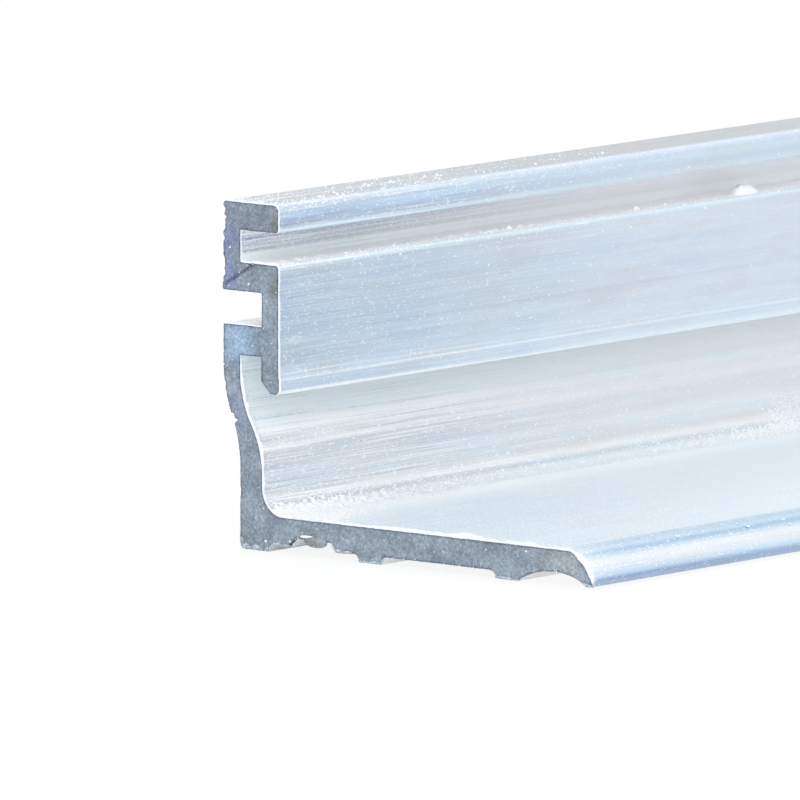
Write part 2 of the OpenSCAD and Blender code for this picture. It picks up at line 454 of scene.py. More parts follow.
# Each outline point takes its face's tone, mostly painted light and shade, near the cut and further in
near_tone = np.tile((*linear(PLAIN)[:3], PLAIN_DULLNESS), (len(outline), 1))
far_tone = near_tone.copy()
for *part, near_code, far_code, dullness in FACE_TONES_AND_PAINTED_LIGHT:
    near_tone[within(*part)] = (*linear(near_code)[:3], dullness)
    far_tone[within(*part)] = (*linear(far_code)[:3], min(1, dullness + FURTHER_IN))
# The top of the base is painted lighter near the leg, against the shade the leg casts there
on_base_top = within(*BASE_TOP)
distances, *codes = zip(*BASE_PAINTED_LIGHT)
for tone, lifted_codes in zip((near_tone, far_tone), codes):
    for channel in range(3):
        steps = [linear(code)[channel] for code in lifted_codes]
        tone[on_base_top, channel] = np.interp(outline.real[on_base_top], distances, steps)
for tone, blur, clear in ((near_tone, 0.12, 1.0), (far_tone, 0.3, 0.4)):
    tone[:] = np.column_stack([softened(channel, blur) for channel in tone.T])
    # Painted highlights: bright lines where the toe's step, the leg's bends and the groove's wall catch the
    # light
    for place, half_width, shine in PAINTED_HIGHLIGHTS:
        lit = np.abs(outline - place) < half_width
        tone[lit] = tone[lit] * (1 - clear * shine) + np.array(linear(BRIGHT)) * clear * shine
scored = 0.03 * wander(0.16) + 0.02 * wander(0.45) + 0.02 * wander(1.4)
# The lip next to the cut: its part of the section, its tone, how much of that shows, and how far in it fades
LIP = (31.0, 34.9, 0.8, 2.8)
LIP_PALE_TONE, LIP_PALE_DULLNESS = "#E2EAF1", 0.5
LIP_PALE_SHARE, LIP_PALE_REACH = 0.7, 2.5
# The depth at which the tones further in, painted lighter as a gradient of light, are reached, and how
# much of the score lines is lost there
TONE_RUN = 45
SCORE_FADE = 0.7
on_lip = softened(within(*LIP).astype(float), 0.5)


def ring_tone(depth):
    """Tone and dullness of every outline point at a depth from the cut, with its score lines."""
    share = min(1, depth / TONE_RUN)
    mixed = near_tone * (1 - share) + far_tone * share
    pale_share = (LIP_PALE_SHARE * on_lip * math.exp(-depth / LIP_PALE_REACH))[:, None]
    mixed = mixed * (1 - pale_share) + np.array((*linear(LIP_PALE_TONE)[:3], LIP_PALE_DULLNESS)) * pale_share
    lines = scored * np.clip(1 - SCORE_FADE * mixed[:, 3], 0, 1) * (1 - SCORE_FADE * share)
    mixed[:, :3] *= 1 + lines[:, None]
    mixed[:, :3] = np.clip(mixed[:, :3], 0, 1)
    return mixed


print("tones from", near_tone.min(axis=0).round(2), "to", near_tone.max(axis=0).round(2))

# %% [markdown]
# Now all points and faces go into one mesh. The two cut faces take the second material slot.

# %% One mesh for the rail
count = len(drawn)
points = np.concatenate(rings + [near_points, far_points]) * MM
near_start = count * len(rings)
far_start = near_start + len(near_points)
last_ring = count * (len(rings) - 1)

faces = []
for k in range(len(rings) - 1):
    for j in range(count):
        after = (j + 1) % count
        faces.append((k * count + j, (k + 1) * count + j, (k + 1) * count + after, k * count + after))
side_faces = len(faces)
for triangle in near_triangles:
    faces.append([i if i < count else near_start + i - count for i in triangle])
for triangle in far_triangles:
    faces.append([last_ring + i if i < count else far_start + i - count for i in reversed(triangle)])
print(side_faces, "faces along the rail,", len(faces) - side_faces, "on its two cuts")


def new_piece(name, points, faces, materials, material_of=None):
    """A smooth-shaded mesh object that rides on the rail's body."""
    mesh = bpy.data.meshes.new(name)
    mesh.from_pydata(points, [], faces)
    mesh.polygons.foreach_set("use_smooth", np.ones(len(faces), dtype=bool))
    if material_of is not None:
        mesh.polygons.foreach_set("material_index", material_of)
    for material in materials:
        mesh.materials.append(material)
    mesh.update()
    piece = bpy.data.objects.new(name, mesh)
    scene.collection.objects.link(piece)
    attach(piece, "root")
    mesh.calc_loop_triangles()
    print(name, "has", len(mesh.loop_triangles), "triangles")
    return piece


# %% [markdown]
# ## Materials
# One small function adds a node with its settings, its links and the colours of a ramp, and gives back
# an output. All patterns are procedural and read the place on the object in metres, so a width in
# millimetres turns into a scale by one division.

# %% A function that adds a node
def add(tree, kind, inputs=None, out=0, stops=(), **settings):
    """Adds a shader node: inputs are values or sockets to link, stops are places and hex codes on a ramp."""
    node = tree.nodes.new("ShaderNode" + kind)
    for key, value in settings.items():
        setattr(node, key, value)
    for key, value in (inputs or {}).items():
        if isinstance(value, bpy.types.NodeSocket):
            tree.links.new(value, node.inputs[key])
        else:
            node.inputs[key].default_value = value
    for i, (position, code) in enumerate(stops):
        stop = node.color_ramp.elements[i] if i < 2 else node.color_ramp.elements.new(position)
        stop.position = position
        stop.color = linear(code)
    return node.outputs[out] if node.outputs else node


def new_material(name):
    """An empty node material and its tree."""
    material = bpy.data.materials.new(name)
    material.use_nodes = True
    material.node_tree.nodes.clear()
    return material, material.node_tree


# %% [markdown]
# ** Mill-finish extruded aluminium.** The metal comes out of the die bare, with no coating. Its oxide makes
# it a little grey and cool, and the die lines spread every reflection across the section. To the eye that
# is a soft satin sheen with fine streaks, never a mirror. A thin film of oxide and dust scatters part of the
# light, so Metallic stays below 1 here and falls where a face is dull. The finest real lines are a few
# hundredths of a millimetre wide, which is less than a pixel, so they are drawn a little coarser. On the leg
# and in the groove they show stronger: darker lines, and white lines of painted glint beside them.
# The saw's dust lies on top. In the inside corner it makes a white fan, wide at the cut and gone some way in.

# %% Mill-finish extruded aluminium
# The taper is a share of the depth from the cut, and all other sizes are in millimetres
FAN_WIDTH, FAN_TAPER = 10.2, 0.23
FAN_FADE, FAN_STRAY = 5.5, 2.0
BASE_LEVEL, BASE_CLEAR = 2.8, 3.8
LEG_FOOT, LEG_CLEAR = 2.9, 4.2
NEAR_THE_CUT = 55
CLUMP_WIDTH, CLUMP_DEPTH = 0.4, 0.1
SPECK_WIDTH, SPECK_LENGTH = 0.14, 0.34
LINE_DEPTH = 0.02
DUST, WHITE = "#FAFCFC", "#FFFFFF"
STREAKS = {"fine": (0.11, 14), "band": (0.7, 90), "haze": (2.4, 12)}
HAZE = ((0.3, "#F4F8FD"), (0.5, "#FFFFFF"), (0.75, "#F8EFE8"))


def mill_finish():
    """The drawn faces: a tone for each face, lines along the rail, dust and specks."""
    material, tree = new_material("mill_finish_extruded_aluminium")
    place = add(tree, "TexCoord", out="Object")
    axes = add(tree, "SeparateXYZ", {"Vector": place}).node.outputs
    tone = add(tree, "Attribute", attribute_name="tone").node.outputs
    streak = {}
    for name, (width, length) in STREAKS.items():
        scale = (1 / (width * MM), 1 / (length * MM), 1 / (width * MM))
        stretched = add(tree, "Mapping", {"Vector": place, "Scale": scale})
        streak[name] = add(tree, "TexNoise", {"Vector": stretched, "Scale": 1.0, "Detail": 3.0,
                           "Roughness": 0.6})

    # The dust fan: clumps that lie close together in the corner and thin out towards a slanting border
    from_middle = add(tree, "Math", {0: axes["Y"]}, operation="ABSOLUTE")
    slanted = add(tree, "Math", {0: from_middle, 1: -FAN_TAPER, 2: axes["X"]}, operation="MULTIPLY_ADD")
    border = (BACK_X + FAN_WIDTH - FAN_TAPER * FAR_Y) * MM
    inside_border = add(tree, "MapRange", {"Value": slanted, "From Min": border - FAN_FADE * MM,
                        "From Max": border + FAN_STRAY * MM, "To Min": 1.0, "To Max": 0.0})
    on_base = add(tree, "MapRange", {"Value": axes["Z"], "From Min": BASE_LEVEL * MM,
                  "From Max": BASE_CLEAR * MM, "To Min": 1.0, "To Max": 0.0})
    reach = add(tree, "Math", {0: inside_border, 1: on_base}, operation="MULTIPLY")
    clump = add(tree, "TexNoise", {"Vector": place, "Scale": 1 / (CLUMP_WIDTH * MM), "Detail": 3.0})
    heap = add(tree, "Math", {0: reach, 1: 0.4, 2: clump}, operation="MULTIPLY_ADD")
    heaped = add(tree, "MapRange", {"Value": heap, "From Min": 0.64, "From Max": 0.74})
    some = add(tree, "MapRange", {"Value": reach, "From Max": 0.2})
    fan = add(tree, "Math", {0: heaped, 1: some}, operation="MULTIPLY")
    dull = add(tree, "Math", {0: tone["Alpha"], 1: fan}, operation="MAXIMUM")
    bare = add(tree, "Math", {0: 1.0, 1: dull}, operation="SUBTRACT")
    close = add(tree, "MapRange", {"Value": from_middle, "From Min": (FAR_Y - NEAR_THE_CUT) * MM,
                "From Max": FAR_Y * MM})

    # The colour: the face's tone, dust, broad bands, a warm haze and fine lines
    dust = add(tree, "Math", {0: fan, 1: 0.9}, operation="MULTIPLY")
    dusted = add(tree, "Mix", {"Factor": dust, "A": tone["Color"], "B": linear(DUST)}, "Result",
                 data_type="RGBA")
    band = add(tree, "ValToRGB", {"Fac": streak["band"]}, stops=((0.3, "#F4F6F9"), (0.55, "#FFFFFF")))
    banded = add(tree, "Mix", {"Factor": bare, "A": dusted, "B": band}, "Result", data_type="RGBA",
                 blend_type="MULTIPLY")
    haze = add(tree, "ValToRGB", {"Fac": streak["haze"]}, stops=HAZE)
    warm = add(tree, "MapRange", {"Value": dull, "To Min": 1.0, "To Max": 0.15})
    hazed = add(tree, "Mix", {"Factor": warm, "A": banded, "B": haze}, "Result", data_type="RGBA",
                blend_type="MULTIPLY")
    fine = add(tree, "ValToRGB", {"Fac": streak["fine"]}, stops=((0.3, "#EBEEF2"), (0.55, "#FFFFFF")))
    fading = add(tree, "MapRange", {"Value": close, "To Min": 0.3, "To Max": 1.0})
    shown = add(tree, "Math", {0: warm, 1: fading}, operation="MULTIPLY")
    lined = add(tree, "Mix", {"Factor": shown, "A": hazed, "B": fine}, "Result", data_type="RGBA",
                blend_type="MULTIPLY")

    # On the leg and in the groove the lines show stronger: darker lines, and white lines of painted glint
    # beside them
    upright = add(tree, "MapRange", {"Value": axes["Z"], "From Min": LEG_FOOT * MM,
                  "From Max": LEG_CLEAR * MM})
    dullness_share = add(tree, "MapRange", {"Value": dull, "From Min": 0.2, "From Max": 0.5, "To Min": 0.15})
    scored_here = add(tree, "Math", {0: upright, 1: dullness_share}, operation="MULTIPLY")
    near_cut = add(tree, "MapRange", {"Value": close, "From Min": 0.3, "From Max": 0.9})
    scored_here = add(tree, "Math", {0: scored_here, 1: near_cut}, operation="MULTIPLY")
    dark_lines = add(tree, "ValToRGB", {"Fac": streak["fine"]}, stops=((0.33, "#DEE3E8"), (0.47, "#FFFFFF")))
    open_lines = add(tree, "MapRange", {"Value": dull, "From Min": 0.8, "To Min": 1.0, "To Max": 0.0})
    darkened = add(tree, "Math", {0: scored_here, 1: open_lines}, operation="MULTIPLY")
    lined = add(tree, "Mix", {"Factor": darkened, "A": lined, "B": dark_lines}, "Result", data_type="RGBA",
                blend_type="MULTIPLY")
    # White lines of painted glint where the die lines catch the light
    bright = add(tree, "MapRange", {"Value": streak["fine"], "From Min": 0.54, "From Max": 0.70})
    glint = add(tree, "Math", {0: bright, 1: scored_here}, operation="MULTIPLY")
    lined = add(tree, "Mix", {"Factor": glint, "A": lined, "B": linear(WHITE)}, "Result", data_type="RGBA")

    # White grains of dust, more of them on dull faces and near a cut
    scale = (1 / (SPECK_WIDTH * MM), 1 / (SPECK_LENGTH * MM), 1 / (SPECK_WIDTH * MM))
    dashes = add(tree, "Mapping", {"Vector": place, "Scale": scale})
    speck = add(tree, "TexNoise", {"Vector": dashes, "Scale": 1.0, "Detail": 1.0})
    crowd = add(tree, "Math", {0: dull, 1: 0.07, 2: speck}, operation="MULTIPLY_ADD")
    crowd = add(tree, "Math", {0: close, 1: 0.10, 2: crowd}, operation="MULTIPLY_ADD")
    grains = add(tree, "MapRange", {"Value": crowd, "From Min": 0.70, "From Max": 0.82, "To Max": 0.7})
    thick = add(tree, "MapRange", {"Value": dull, "From Max": 0.7, "To Min": 0.5})
    grains = add(tree, "Math", {0: grains, 1: thick}, operation="MULTIPLY")
    colour = add(tree, "Mix", {"Factor": grains, "A": lined, "B": linear(WHITE)}, "Result", data_type="RGBA")

    clean = add(tree, "Math", {0: 1.0, 1: grains}, operation="SUBTRACT")
    sheen = add(tree, "MapRange", {"Value": dull, "From Min": -1.0, "To Min": 1.0, "To Max": 0.12})
    metal = add(tree, "Math", {0: sheen, 1: clean}, operation="MULTIPLY")
    rough = add(tree, "MapRange", {"Value": streak["fine"], "To Min": 0.38, "To Max": 0.56})
    heaps = add(tree, "Math", {0: clump, 1: fan}, operation="MULTIPLY")
    grooves = add(tree, "Bump", {"Height": streak["fine"], "Strength": 1.0, "Distance": LINE_DEPTH * MM})
    grooves = add(tree, "Bump", {"Height": heaps, "Strength": 1.0, "Distance": CLUMP_DEPTH * MM,
                  "Normal": grooves})
    shader = add(tree, "BsdfPrincipled", {"Base Color": colour, "Metallic": metal, "Roughness": rough,
                 "Normal": grooves})
    add(tree, "OutputMaterial", {"Surface": shader})
    return material


# %% [markdown]
# **Saw-cut aluminium.** The same metal, torn by the teeth and smeared by the blade. The torn grain faces
# every way, so the cut looks darker and duller than the drawn faces, with small bright spots where a smear
# lies flat.

# %% Saw-cut aluminium
TORN_WIDTH, TORN_DEPTH = 0.22, 0.07
BLOTCH_WIDTH = 1.5
SMEAR = "#D5DEE6"


def saw_cut():
    """The two cut faces: a tone for each place, blotches, torn grain and bright spots."""
    material, tree = new_material("saw_cut_aluminium")
    place = add(tree, "TexCoord", out="Object")
    tone = add(tree, "Attribute", attribute_name="tone")
    torn = add(tree, "TexNoise", {"Vector": place, "Scale": 1 / (TORN_WIDTH * MM), "Detail": 3.0,
               "Roughness": 0.65})
    blotch = add(tree, "TexNoise", {"Vector": place, "Scale": 1 / (BLOTCH_WIDTH * MM), "Detail": 3.0,
                 "Roughness": 0.65})
    colour = tone
    for pattern, low, dark, high in ((blotch, 0.35, "#DCDDDF", 0.65), (torn, 0.35, "#D9DAD9", 0.6)):
        shade = add(tree, "ValToRGB", {"Fac": pattern}, stops=((low, dark), (high, "#FFFFFF")))
        colour = add(tree, "Mix", {"Factor": 1.0, "A": colour, "B": shade}, "Result", data_type="RGBA",
                     blend_type="MULTIPLY")
    spot = add(tree, "MapRange", {"Value": torn, "From Min": 0.64, "From Max": 0.76})
    colour = add(tree, "Mix", {"Factor": spot, "A": colour, "B": linear(SMEAR)}, "Result", data_type="RGBA")
    rough = add(tree, "MapRange", {"Value": torn, "To Min": 0.58, "To Max": 0.38})
    grain = add(tree, "Bump", {"Height": torn, "Strength": 0.7, "Distance": TORN_DEPTH * MM})
    shader = add(tree, "BsdfPrincipled", {"Base Color": colour, "Metallic": 1.0, "Roughness": rough,
                 "Normal": grain})
    add(tree, "OutputMaterial", {"Surface": shader})
    return material


# %% [markdown]
# **Freshly torn aluminium.** Burrs and swarf have had no time to dull. They are the brightest metal of all,
# crumpled so finely that each shows as a white spot.

# %% Freshly torn aluminium
CRUMPLE_WIDTH, CRUMPLE_DEPTH = 0.15, 0.04


def fresh_metal():
    """Burrs and chips."""
    material, tree = new_material("freshly_torn_aluminium")
    place = add(tree, "TexCoord", out="Object")
    crumple = add(tree, "TexNoise", {"Vector": place, "Scale": 1 / (CRUMPLE_WIDTH * MM), "Detail": 2.0})
    colour = add(tree, "ValToRGB", {"Fac": crumple}, stops=((0.3, "#EEF4FA"), (0.6, "#FFFFFF")))
    folds = add(tree, "Bump", {"Height": crumple, "Strength": 0.5, "Distance": CRUMPLE_DEPTH * MM})
    shader = add(tree, "BsdfPrincipled", {"Base Color": colour, "Metallic": 0.15, "Roughness": 0.5,
                 "Normal": folds})
    add(tree, "OutputMaterial", {"Surface": shader})
    return material


drawn_metal = mill_finish()
cut_metal = saw_cut()
torn_metal = fresh_metal()
print("materials", [material.name for material in (drawn_metal, cut_metal, torn_metal)])

# %% [markdown]
# The cut has tones of its own: blue where the saw has smeared the back of the head and the lower bar.
# Painted shade darkens the deep scratch, the slope of the small groove under the base and the line where the
# face meets the burr, and the burr at the rim is painted nearly white as a highlight on its smeared metal.
# They go into the same attribute, but corner by corner, because the points on the edge belong both to the
# bright burr and to the dark face.

# %% The rail as a piece
# The cut's own tone, the painted shade where it meets the burr, and the burr's painted highlight at the rim
CUT_TONE, CUT_EDGE_SHADE, RIM_BURR_AND_HIGHLIGHT = "#AFBDCB", "#78849A", "#F3F8FD"
RIM_DEPTHS = (0.0, 0.1, 0.3)
SHARP_ANGLE = math.radians(38)
CUT_PATCHES = (
    # centre and radius of a patch on the section, and its tone
    (complex(3.2, 23.5), 2.6, "#A6B2C1"), (complex(0.3, 22.5), 1.2, "#A3AFD2"),
    (complex(0.4, 20.0), 1.2, "#A3AFD2"), (complex(4.5, 17.5), 2.2, "#B7C6D6"),
    (complex(1.4, 15.2), 1.7, "#C2DBF8"), (complex(1.0, 10.0), 2.0, "#B0BED2"),
    (complex(32.0, 1.6), 2.4, "#C2CBD4"), (complex(5.0, 24.2), 0.7, "#A5AEB2"),
    (complex(5.0, 19.4), 0.8, "#A5AEB2"),
)
PAINTED_SHADE_LINES = (
    # start and end of a line of painted shade on the section, its width, and its tone
    (*SCRATCH, 0.15, "#6E7A8C"), (complex(6.3, 0.5), complex(7.05, 1.15), 0.22, "#3E4A66"),
)


def cut_tones(points):
    """Tone of every point on a cut face, with its lines of painted shade."""
    place = points[:, 0] - BACK_X + 1j * points[:, 2]
    tones = np.tile(linear(CUT_TONE), (len(place), 1))
    for centre, radius, code in CUT_PATCHES:
        share = np.exp(-(np.abs(place - centre) / radius) ** 4)[:, None]
        tones = tones * (1 - share) + np.array(linear(code)) * share
    # Lines of painted shade: in the deep scratch and on the slope of the small groove under the base
    for start, end, width, code in PAINTED_SHADE_LINES:
        turned = (place - start) / (end - start)
        aside = np.abs(turned.imag) * abs(end - start)
        share = (np.clip(1.3 - aside / width, 0, 1) * ((turned.real > 0) & (turned.real < 1)))[:, None]
        tones = tones * (1 - share) + np.array(linear(code)) * share
    return tones


material_of = np.zeros(len(faces), dtype=np.int32)
material_of[side_faces:] = 1
rail = new_piece("swept_rail", points.tolist(), faces, [drawn_metal, cut_metal], material_of)
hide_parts("rail")

# The first rings at each cut are the smeared burr, painted nearly white as a highlight
rim_burr_and_highlight = np.tile(linear(RIM_BURR_AND_HIGHLIGHT), (count, 1))
end_depths = RIM_DEPTHS + PLAIN_DEPTHS
end_tones = [ring_tone(depth) for depth in end_depths]
end_tones[:2] = [rim_burr_and_highlight, rim_burr_and_highlight]
point_tones = np.concatenate(end_tones + end_tones[::-1] + [cut_tones(near_points), cut_tones(far_points)])
corner_points = np.zeros(len(rail.data.loops), dtype=np.int32)
rail.data.loops.foreach_get("vertex_index", corner_points)
corner_tones = point_tones[corner_points]
of_cut = np.arange(len(corner_points)) >= 4 * side_faces
# Where the cut face meets the burr, its corners take a line of painted shade
corner_tones[of_cut & (corner_points < near_start)] = linear(CUT_EDGE_SHADE)
rail.data.attributes.new("tone", "FLOAT_COLOR", "CORNER").data.foreach_set("color", corner_tones.ravel())
rail.data.set_sharp_from_angle(angle=SHARP_ANGLE)

# %% [markdown]
# ## Burrs under the cut
# Below the cut the saw has pushed metal over the edge, where it clings as crumpled foil and as a few lumps.
# Foil is drawn as a bead: a sheet that leaves the cut face, bulges forward and goes round the edge, with
# steps along the outline by steps across it. A lump is a low dome. Both swell and crumple by smooth noise.

# %% Crumpled foil and lumps
FOILS = (
    # start and end on the outline, how far it reaches onto the face, and how far it bulges forward
    (complex(1.6, 1.1), complex(4.6, 0.1), 0.42, 0.16),
    (complex(4.6, 0.2), complex(6.4, 0.55), 0.16, 0.08),
    (complex(10.2, 1.1), complex(12.3, 0.5), 0.18, 0.10),
    (complex(12.6, 0.3), complex(15.3, 0.3), 0.16, 0.08),
    (complex(25.3, 0.3), complex(28.0, 0.1), 0.20, 0.08),
    (complex(33.6, 0.5), complex(34.75, 0.5), 0.14, 0.05),
)
LUMPS = (
    # centre, half width and half height on the section, how far it bulges, its tone, and its material slot
    (complex(8.75, 1.08), 1.12, 0.42, 0.30, "#B4B8BC", 1), (complex(8.02, 1.40), 0.78, 0.13, 0.14, BRIGHT, 0),
    (complex(4.05, 0.75), 0.14, 0.11, 0.12, BRIGHT, 0), (complex(6.34, 0.94), 0.12, 0.10, 0.10, BRIGHT, 0),
)
ACROSS = np.linspace(0, 1, 9)
LUMP_RINGS = np.linspace(0, 1, 9)
LUMP_TURNS = np.linspace(0, 2 * math.pi, 33)
DULL_FOIL, BRIGHT_FOIL = "#A3B6C6", "#F2F8FC"
foil_points, foil_faces, foil_slots, foil_tones = [], [], [], []


def join_rows(first, rows, columns, slot):
    """Adds the faces of a grid of points."""
    for i in range(rows - 1):
        for k in range(columns - 1):
            a = first + i * columns + k
            foil_faces.append((a, a + 1, a + columns + 1, a + columns))
            foil_slots.append(slot)


def nearest(place):
    """Index of the outline point nearest to a place on the section."""
    return int(np.argmin(np.abs(outline - place)))


def foil_tone(share):
    """A tone between dull and bright foil."""
    share = min(1, max(0, share))
    return [a * (1 - share) + b * share for a, b in zip(linear(DULL_FOIL), linear(BRIGHT_FOIL))]


for start, end, reach, bulge in FOILS:
    first = len(foil_points)
    chosen = range(nearest(start), nearest(end) + 1)
    for j in chosen:
        swell = math.sin(math.pi * (j - chosen[0] + 0.5) / len(chosen)) ** 0.4
        for t in ACROSS:
            crumple = noise.noise((outline[j].real * 1.7, outline[j].imag * 1.7, 3 * t))
            fold = noise.noise((outline[j].real * 4.5, outline[j].imag * 4.5, 5 * t + 9))
            out = swell * (0.07 * t - reach * (1 - t) * (1 + 0.7 * crumple)) + 0.05 * fold * t
            arch = math.sin(math.pi * min(1, t * 1.05)) ** 0.7
            ahead_by = bulge * swell * arch * (1 + 0.8 * crumple + 0.6 * fold)
            spot = outline[j] + outward[j] * out
            foil_points.append((spot.real + BACK_X, NEAR_Y + 0.05 * t - ahead_by, max(spot.imag, 0.01)))
            foil_tones.append(foil_tone(0.5 + 0.8 * crumple + 0.7 * fold))
    join_rows(first, len(chosen), len(ACROSS), 1)
for centre, wide, high, bulge, code, slot in LUMPS:
    first = len(foil_points)
    for r in LUMP_RINGS:
        for turn in LUMP_TURNS:
            spot = centre + wide * r * math.cos(turn) + 1j * high * r * math.sin(turn)
            dent = 1 + 0.3 * noise.noise((spot.real * 1.6, spot.imag * 1.6, 4.0))
            ahead_by = bulge * dent * math.sqrt(1 - r * r)
            foil_points.append((spot.real + BACK_X, NEAR_Y + 0.05 - ahead_by, spot.imag))
            foil_tones.append(linear(code))
    join_rows(first, len(LUMP_RINGS), len(LUMP_TURNS), slot)
foil = new_piece("edge_burrs", (np.array(foil_points) * MM).tolist(), foil_faces, [torn_metal, cut_metal],
                 np.array(foil_slots, dtype=np.int32))
foil_layer = foil.data.attributes.new("tone", "FLOAT_COLOR", "POINT")
foil_layer.data.foreach_set("color", np.array(foil_tones).ravel())

# %% [markdown]
# ## Swarf
# The saw throws two kinds of swarf. Flat chips cling to any face: each is a short bent strip, turned at
# random. Crumbs are loose, and most lie on faces that look up: each is a lopsided little pyramid, which
# smooth shading turns into a round grain. They could be instances of a few shapes, but one mesh with all of
# them is simpler to hand on. They lie thickest near the cut, in the inside corner and on the ledge of the
# front groove.

# %% Shapes of a chip and a crumb
CHIP_FACES = ((0, 1, 3, 2), (2, 3, 5, 4), (4, 5, 7, 6))
CRUMB_FACES = ((0, 1, 5), (1, 2, 5), (2, 3, 5), (3, 4, 5), (4, 0, 5))


def any_direction(normal):
    """A random direction along a face."""
    return Matrix.Rotation(random.uniform(0, 2 * math.pi), 3, normal) @ normal.orthogonal().normalized()


def chip(centre, normal, size):
    """A bent strip of metal that lies on a face: its points in millimetres."""
    lengthwise = any_direction(normal)
    sideways = normal.cross(lengthwise)
    length = size * random.uniform(0.8, 1.5)
    curl = random.uniform(0.05, 0.4) / size
    tip = random.uniform(-0.15, 0.2)
    made = []
    for step in (-0.5, -0.17, 0.17, 0.5):
        s = step * length
        height = 0.25 * size + curl * s * s + tip * s
        for side in (-0.4, 0.4):
            place = centre + s * lengthwise + side * size * (1 - step * step) * sideways
            made.append(place + max(height, 0.01) * normal)
    return made


def crumb(centre, normal, size):
    """A grain that rests on a face: five points round its foot and one on top, in millimetres."""
    foot = 0.7 * size * any_direction(normal)
    made = []
    for k in range(5):
        turn = Matrix.Rotation(2 * math.pi * (k + random.uniform(-0.3, 0.3)) / 5, 3, normal)
        made.append(centre - 0.01 * normal + random.uniform(0.7, 1.2) * (turn @ foot))
    made.append(centre + random.uniform(0.5, 1.0) * size * normal + random.uniform(-0.3, 0.3) * foot)
    return made


# %% [markdown]
# Where they lie follows the photograph: a number for each part of the section, thinning out with the depth
# from the cut, and grains scattered about single places. On the ledge of the front groove some stick
# together, as small clumps near the cut and four larger heaps further in. Each is one bumpy mound that
# follows the outline. Specks hang on the back and lower edges of the near cut, and chips on both cut faces.

# %% Chips and crumbs on the rail
SWARF_ZONES = (
    # left, right, bottom, top of a part of the section, how many lie there, their usual width,
    # how far in they reach, and whether they are loose crumbs
    (4.0, 10.0, 2.5, 3.6, 3600, 0.07, 75, True), (4.4, 6.4, 2.5, 3.1, 800, 0.085, 75, True),
    (3.6, 5.15, 21.0, 21.2, 1100, 0.085, 75, True), (10.0, 32.0, 2.5, 2.8, 160, 0.055, 75, False),
    (0.4, 4.8, 25.4, 25.6, 700, 0.055, 40, True), (4.6, 5.4, 24.6, 25.6, 260, 0.055, 40, False),
    (5.2, 5.4, 11.9, 25.2, 130, 0.045, 45, False), (1.6, 4.0, 4.0, 12.5, 200, 0.05, 50, False),
    (1.6, 1.8, 21.2, 23.3, 120, 0.05, 60, False), (32.0, 34.9, 0.3, 2.6, 90, 0.055, 75, False),
)
SCATTERED = (
    # place on the outline, depth from the near cut, how far they spread, how many lie there,
    # and their usual width
    (complex(4.2, 21.1), 12.0, 3.0, 160, 0.10), (complex(4.3, 21.1), 42.0, 11.0, 500, 0.085),
    (complex(4.6, 3.0), 50.0, 5.0, 400, 0.08), (complex(4.8, 2.9), 59.0, 3.5, 1300, 0.09),
    (complex(4.0, 4.0), 61.5, 1.5, 1100, 0.10),
    (complex(2.6, 25.5), 20.0, 9.0, 20, 0.15), (complex(4.4, 25.5), 9.0, 7.0, 50, 0.11),
    (complex(32.6, 2.64), 12.0, 6.0, 26, 0.12), (complex(33.2, 2.5), 22.0, 6.0, 14, 0.11),
)
HEAPS = (
    # place on the outline, depth from the near cut, half the width, half the length, and the height
    (complex(4.1, 21.1), 55.6, 0.65, 1.6, 0.85), (complex(4.3, 21.1), 42.6, 0.25, 0.45, 0.32),
    (complex(4.4, 21.1), 45.9, 0.2, 0.35, 0.25), (complex(4.3, 21.1), 27.6, 0.25, 0.4, 0.28),
)
HEAP_RINGS = np.linspace(1, 0.02, 10)
HEAP_SIDES = 24
CLUMPS_ON_LEDGE = 60
FRONT_GROOVE_FLOOR = 21.1
CHIPS_ON_CUT = 140
SPECKS_ON_EDGE = 130
BACK_EDGE, LOWER_EDGE = (-0.1, 1.9, 0.2, 25.4), (1.5, 34, -0.1, 1.2)
SMALL_CHIP = 0.055
FIRST_DEPTH = 0.6
FAR_END_SHARE = 0.4
# The fan of loose crumbs narrows as far in as this
FAN_DEPTH = 18
# Scattered grains are crumbs up to this distance from the back of the head, and flat chips beyond it
LOOSE_AS_FAR_AS = 10
swarf_points, swarf_faces = [], []


def drop(centre, normal, usual, loose):
    """Adds a loose crumb or a flat chip. Most are near the usual width, a few are larger."""
    size = float(np.clip(random.lognormal(math.log(usual), 0.45), 0.03, 0.22))
    first = len(swarf_points)
    made = crumb if loose else chip
    swarf_points.extend(made(Vector(centre), Vector(normal), size))
    for face in CRUMB_FACES if loose else CHIP_FACES:
        swarf_faces.append([first + corner for corner in face])


def drop_on_outline(j, y, usual, loose):
    """Adds one piece of swarf on the face at an outline point."""
    drop((drawn[j].real + BACK_X, y, drawn[j].imag), (outward[j].real, 0, outward[j].imag), usual, loose)


